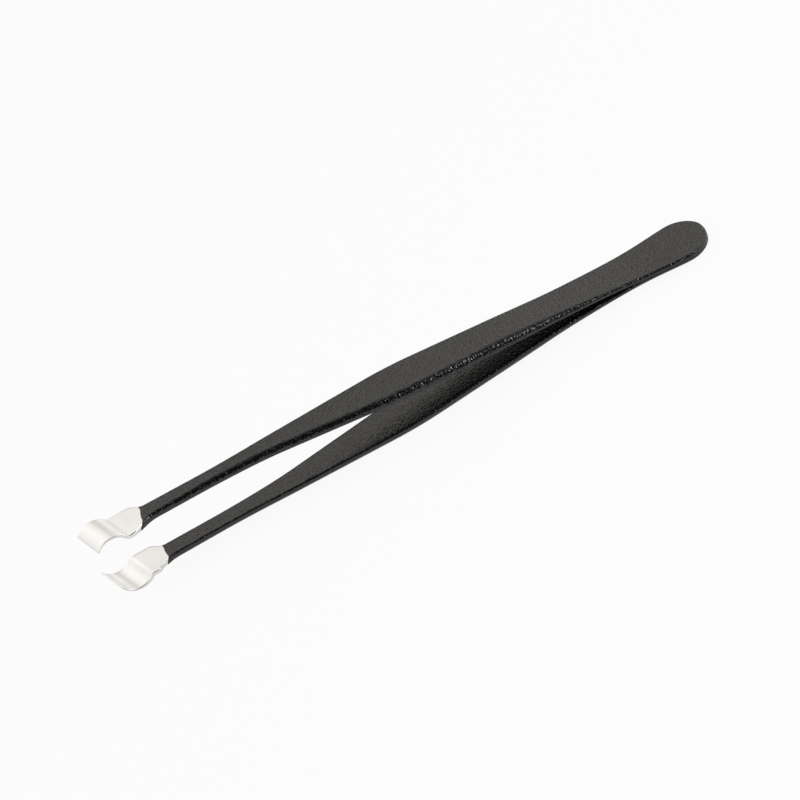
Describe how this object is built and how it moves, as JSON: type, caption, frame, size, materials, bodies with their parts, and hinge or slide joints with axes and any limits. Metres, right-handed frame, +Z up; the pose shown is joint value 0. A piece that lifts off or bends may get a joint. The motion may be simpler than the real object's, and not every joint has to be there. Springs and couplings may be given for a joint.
{
  "type": "anti-static tweezers",
  "caption": "Slim black-coated tweezers: sprung arms joined at a rounded butt, tapering to bare steel scoop-shaped paddles that grip small round components.",
  "frame": {"origin": "middle of the length and width, on the table that the tweezers lie on", "axes": "+X along the arms towards the rounded butt, +Y across the arms, +Z up from the table"},
  "size_m": [0.1208, 0.0106, 0.0147],
  "materials": {
    "bare_steel": "satin, fine grain",
    "black_coating": "satin black with a fine even grain"
  },
  "bodies": {
    "root": {"upper_arm": "bare_steel", "lower_arm": "bare_steel", "coating": "black_coating"}
  },
  "joints": []
}
